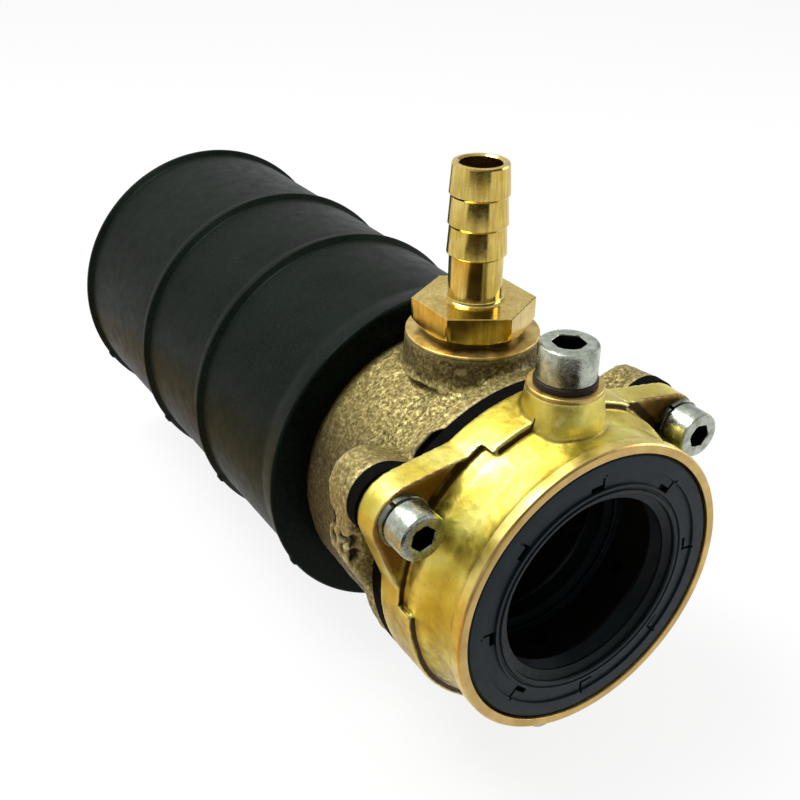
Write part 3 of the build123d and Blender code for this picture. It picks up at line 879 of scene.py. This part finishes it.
def lock_washer(node, centre, front, back, gap_angle):
    half_gap = washer_split / 2 / washer_outer
    steps = 90
    verts, faces = [], []
    inner, outer, e = washer_inner, washer_outer, washer_edge
    thick = (back - front) / MM
    section = [
        (inner + e, 0), (outer - e, 0), (outer, e), (outer, thick - e),
        (outer - e, thick), (inner + e, thick), (inner, thick - e), (inner, e),
    ]
    for k in range(steps + 1):
        a = math.radians(gap_angle) + half_gap + (2 * math.pi - 2 * half_gap) * k / steps
        for r, h in section:
            verts.append((centre.x + r * MM * math.cos(a), front + h * MM, centre.z + r * MM * math.sin(a)))
    m = len(section)
    for k in range(steps):
        for j in range(m):
            faces.append((k * m + j, k * m + (j + 1) % m, (k + 1) * m + (j + 1) % m, (k + 1) * m + j))
    faces.append(tuple(range(m)))
    faces.append(tuple(steps * m + j for j in reversed(range(m))))
    mesh = bpy.data.meshes.new(node + "_skin")
    mesh.from_pydata(verts, [], faces)
    bm = bmesh.new()
    bm.from_mesh(mesh)
    bmesh.ops.recalc_face_normals(bm, faces=bm.faces)
    bm.to_mesh(mesh)
    bm.free()
    shade(mesh, 30)
    # Painted shade darkens the whole washer
    write_mask(mesh, "painted_shade", np.full(len(mesh.vertices), 0.6))
    add_piece(node + "_skin", mesh, stainless, node)


cover_screw_size = dict(head_d=8.5, head_h=5.0, shank_d=5.0, shank_l=16.0, socket=4.0, depth=2.6)
grease_plug_size = dict(head_d=10.0, head_h=6.0, shank_d=6.0, shank_l=8.0, socket=5.0, depth=3.0)
plug_washer_t = 1.2
plug_washer_in = 3.05
plug_washer_out = 5.3


def make_fasteners():
    for side, (gap, turn) in cover_screws.items():
        low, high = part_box("cover_screw_" + side)
        washer_front, washer_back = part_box("lock_washer_" + side)
        centre = (low + high) / 2
        seat = Vector((centre.x, washer_front.y, centre.z))
        socket_screw("cover_screw_" + side, seat, (0, -1, 0), math.radians(turn), **cover_screw_size)
        lock_washer("lock_washer_" + side, centre, washer_front.y, washer_back.y, gap)
    seat = Vector((0, plug_y, washer_high.z))
    socket_screw("grease_plug", seat, (0, 0, 1), math.radians(10), **grease_plug_size)
    outline = [
        (plug_washer_in, 0.0), (plug_washer_out, 0.0, 0.2),
        (plug_washer_out, plug_washer_t, 0.3), (plug_washer_in, plug_washer_t),
    ]
    place = (0, plug_y, washer_low.z)
    mesh = turned("plug_washer_skin", rounded(outline, 3), place, even_angles(96), axis="Z")
    add_piece("plug_washer_skin", mesh, fibre, "grease_plug_washer")


# Hose barb: hexagon with turned corners, collar, barbed stem and threaded shank
thread_r = 6.55
thread_root = 6.0
thread_length = 9.0
thread_pitch = 1.0
thread_turns = 7
collar_r = 8.8
collar_h = 0.8
half_flats = 9.5
hex_h = 5.2
hex_slant = 1.3
stem_bore = 3.65
stem_r = 4.75
stem_root = 0.8
stem_h = 8.6
barb_valley = 4.95
barb_crest = 5.25
barb_pitch = 5.25
barb_count = 3


# Rings are (radius, height, form): form 1 is a hexagon turned down to the radius, 2 is its top edge
def make_barb():
    top = barb_high.z / MM
    bottom = barb_low.z / MM
    collar = bottom + thread_length
    seat = collar + collar_h
    hex_top = seat + hex_h
    corner = half_flats / math.cos(math.pi / 6)
    rings = [(stem_bore, bottom, 0), (thread_r - 0.8, bottom, 0), (thread_r, bottom + 0.8, 0)]
    for k in range(thread_turns):
        z = bottom + 1.2 + k * thread_pitch
        rings += [(thread_r, z, 0), (thread_root, z + thread_pitch / 2, 0)]
    rings += [(thread_r, collar, 0), (collar_r, collar, 0), (collar_r, seat, 0)]
    # The underside's cone cuts the hexagon's corners back
    for k in range(9):
        rings.append((half_flats - 0.6 + 2.2 * k / 8, seat + hex_slant * k / 8, 1))
    rings += [(corner + 1, hex_top - 0.12, 1), (corner - 0.13, hex_top - 0.02, 2), (stem_r + 1.1, hex_top, 0)]
    for k in range(5):
        a = math.pi / 2 * k / 4
        rings.append((stem_r + stem_root * (1 - math.sin(a)), hex_top + stem_root * (1 - math.cos(a)), 0))
    for k in range(barb_count):
        z = hex_top + stem_h + barb_pitch * k
        foot = stem_r if k == 0 else barb_valley
        rings += [
            (foot, z - 0.45, 0), (barb_crest - 0.04, z - 0.08, 0),
            (barb_crest, z, 0), (barb_crest - 0.02, z + 0.08, 0),
        ]
    rings += [
        (4.92, top - 0.35, 0), (4.75, top - 0.08, 0), (4.5, top, 0),
        (stem_bore + 0.35, top, 0), (stem_bore, top - 0.3, 0),
    ]

    def ring(index, radius, height, a):
        form = rings[index][2]
        if form == 1:
            return min(radius, hex_radius(half_flats, a)), height
        if form == 2:
            return hex_radius(half_flats - 0.12, a), height
        return radius, height

    outline = [(r, z) for r, z, form in rings]
    place = (0, barb_y, 0)
    mesh = turned("hose_barb_skin", outline, place, even_angles(192), axis="Z", ring_of=ring, smooth=28)
    # Painted shadow round the collar, in the gap under the hexagon
    height = coordinates(mesh)[:, 2] / MM
    write_mask(mesh, "painted_shade", 0.85 * ((height > collar - 0.1) & (height < seat + 0.4)))
    add_piece("hose_barb_skin", mesh, turned_brass, "hose_barb")


# CAD solids that keep their own shape get a small bevel and their material
def dress_node(node, material, bevelled=True):
    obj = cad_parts[node]
    obj.data.materials.clear()
    obj.data.materials.append(material)
    if bevelled:
        bevel = obj.modifiers.new("edge", "BEVEL")
        bevel.width = 0.15 * MM
        bevel.segments = 2
        bevel.limit_method = "ANGLE"
        bevel.angle_limit = math.radians(50)


make_sleeve()
make_body()
make_cover()
make_seal("outer_lip_seal")
make_seal("inner_lip_seal")
make_fasteners()
make_barb()
dress_node("flange_gasket", gasket_rubber)
dress_node("bearing_shell", brass_tube)
dress_node("bearing_liner", bearing_rubber)
dress_node("grease_ring", grease_dark)
dress_node("outer_garter_spring", spring_steel, False)
dress_node("inner_garter_spring", spring_steel, False)


# Camera, at the photograph's viewing angle
view_azimuth = math.radians(-32.872)
view_height = math.radians(29.434)
view_roll = math.radians(1.039)
view_place = Vector((-107.037, -104.495, 118.530)) * MM
focal_pixels = 1104.58
image_pixels = 800
sensor_width = 36

away = Vector((
    math.sin(view_azimuth) * math.cos(view_height),
    -math.cos(view_azimuth) * math.cos(view_height),
    math.sin(view_height),
))
level_right = (-away).cross(Vector((0, 0, 1))).normalized()
level_up = level_right.cross(-away)
view_right = level_right * math.cos(view_roll) + level_up * math.sin(view_roll)
view_up = level_up * math.cos(view_roll) - level_right * math.sin(view_roll)
camera_data = bpy.data.cameras.new("camera")
camera_data.sensor_width = sensor_width
camera_data.lens = focal_pixels / image_pixels * sensor_width
camera_data.clip_start = 0.01
camera_data.clip_end = 20
camera = add_object("camera", camera_data)
camera.matrix_world = Matrix((
    (view_right.x, view_up.x, away.x, view_place.x),
    (view_right.y, view_up.y, away.y, view_place.y),
    (view_right.z, view_up.z, away.z, view_place.z),
    (0, 0, 0, 1),
))
bpy.context.scene.camera = camera


# Whether a ray comes from the camera, a mirroring surface or a clear one
def background_ray(tree):
    path = tree.nodes.new("ShaderNodeLightPath")
    seen = path.outputs["Is Camera Ray"]
    for ray in ("Is Glossy Ray", "Is Transmission Ray"):
        either = tree.nodes.new("ShaderNodeMath")
        either.operation = "MAXIMUM"
        tree.links.new(seen, either.inputs[0])
        tree.links.new(path.outputs[ray], either.inputs[1])
        seen = either.outputs[0]
    return seen


# A flat piece of the stage at a depth under the object, with a plain matt material
def add_sheet(name, start, end, depth, color, rough):
    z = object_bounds()[0][2] - depth * MM
    corners = [(start[0], start[1], z), (end[0], start[1], z), (end[0], end[1], z), (start[0], end[1], z)]
    mesh = bpy.data.meshes.new(name)
    mesh.from_pydata(corners, [], [(0, 1, 2, 3)])
    material = bpy.data.materials.new(name)
    material.use_nodes = True
    shader = material.node_tree.nodes["Principled BSDF"]
    shader.inputs["Base Color"].default_value = (*color, 1)
    shader.inputs["Roughness"].default_value = rough
    shader.inputs["Specular IOR Level"].default_value = 0.0
    mesh.materials.append(material)
    sheet = add_object(name, mesh)
    sheet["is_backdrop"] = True
    return sheet


# White floor that keeps a faint shadow
floor_size = 3.0
floor_glow = 0.86


def make_floor():
    corner = (floor_size, floor_size)
    floor = add_sheet("floor", (-floor_size, -floor_size), corner, 0.3, (0.75, 0.75, 0.75), 1.0)
    tree = floor.data.materials[0].node_tree
    glow = tree.nodes.new("ShaderNodeEmission")
    glow.inputs["Color"].default_value = (1, 1, 1, 1)
    glow.inputs["Strength"].default_value = 1.0
    amount = tree.nodes.new("ShaderNodeMath")
    amount.operation = "MULTIPLY"
    amount.inputs[1].default_value = floor_glow
    mixer = tree.nodes.new("ShaderNodeMixShader")
    tree.links.new(background_ray(tree), amount.inputs[0])
    tree.links.new(amount.outputs[0], mixer.inputs[0])
    tree.links.new(tree.nodes["Principled BSDF"].outputs[0], mixer.inputs[1])
    tree.links.new(glow.outputs[0], mixer.inputs[2])
    tree.links.new(mixer.outputs[0], tree.nodes["Material Output"].inputs["Surface"])


# Studio light, bright above and behind the object, and a white band round the horizon as background
def make_world():
    world = bpy.data.worlds.new("studio")
    bpy.context.scene.world = world
    world.use_nodes = True
    tree = world.node_tree
    place = tree.nodes.new("ShaderNodeTexCoord")

    # Grey by how far a ray turns from against a direction, at 0, to along it, at 1
    def ramp(direction, stops):
        dot = tree.nodes.new("ShaderNodeVectorMath")
        dot.operation = "DOT_PRODUCT"
        dot.inputs[1].default_value = direction
        tree.links.new(place.outputs["Generated"], dot.inputs[0])
        rise = tree.nodes.new("ShaderNodeMath")
        rise.operation = "MULTIPLY_ADD"
        rise.inputs[1].default_value = 0.5
        rise.inputs[2].default_value = 0.5
        tree.links.new(dot.outputs["Value"], rise.inputs[0])
        node = tree.nodes.new("ShaderNodeValToRGB")
        while len(node.color_ramp.elements) < len(stops):
            node.color_ramp.elements.new(0.5)
        for element, (at, tone) in zip(node.color_ramp.elements, stops):
            element.position = at
            element.color = (tone, tone, tone, 1)
        tree.links.new(rise.outputs[0], node.inputs["Fac"])
        return node.outputs["Color"]

    brightest = Vector((-0.12, 0.62, 0.78)).normalized()
    light = ramp(brightest, [(0.0, 0.06), (0.45, 0.08), (0.62, 0.20), (0.80, 0.75), (0.92, 1.0)])
    band = ramp((0, 0, 1), [(0.58, 1.0), (0.64, 0.0)])
    share = tree.nodes.new("ShaderNodeMath")
    share.operation = "MULTIPLY"
    tree.links.new(background_ray(tree), share.inputs[0])
    tree.links.new(band, share.inputs[1])
    mixer = tree.nodes.new("ShaderNodeMix")
    mixer.data_type = "RGBA"
    tree.links.new(share.outputs[0], mixer.inputs[0])
    tree.links.new(light, mixer.inputs[6])
    mixer.inputs[7].default_value = (1, 1, 1, 1)
    background = tree.nodes["Background"]
    tree.links.new(mixer.outputs[2], background.inputs["Color"])
    background.inputs["Strength"].default_value = 1.0


# Boards on the floor, as flags that bright metal and rubber mirror: dark in front, brown on the left
def make_board(name, start, end, color):
    board = add_sheet(name, start, end, 0.2, color, 0.9)
    board.visible_camera = False
    board.visible_diffuse = False
    board.visible_shadow = False


def make_lamp(name, place, size, power):
    data = bpy.data.lights.new(name, "AREA")
    data.shape = "RECTANGLE"
    data.size, data.size_y = size
    data.energy = power
    lamp = add_object(name, data)
    lamp.location = place
    aim = Vector((0, 0.05, 0)) - Vector(place)
    lamp.rotation_euler = aim.to_track_quat("-Z", "Y").to_euler()


make_floor()
make_board("front_board", (-0.70, -0.80), (0.03, -0.06), (0.025, 0.016, 0.008))
make_board("left_board", (-0.25, -0.06), (-0.045, 0.22), (0.58, 0.41, 0.19))
make_world()
make_lamp("key", (-0.25, 0.25, 0.65), (0.35, 0.35), 6.0)
make_lamp("fill", (0.6, -0.1, 0.25), (0.3, 0.4), 1.5)

bpy.context.scene.view_settings.view_transform = "Standard"
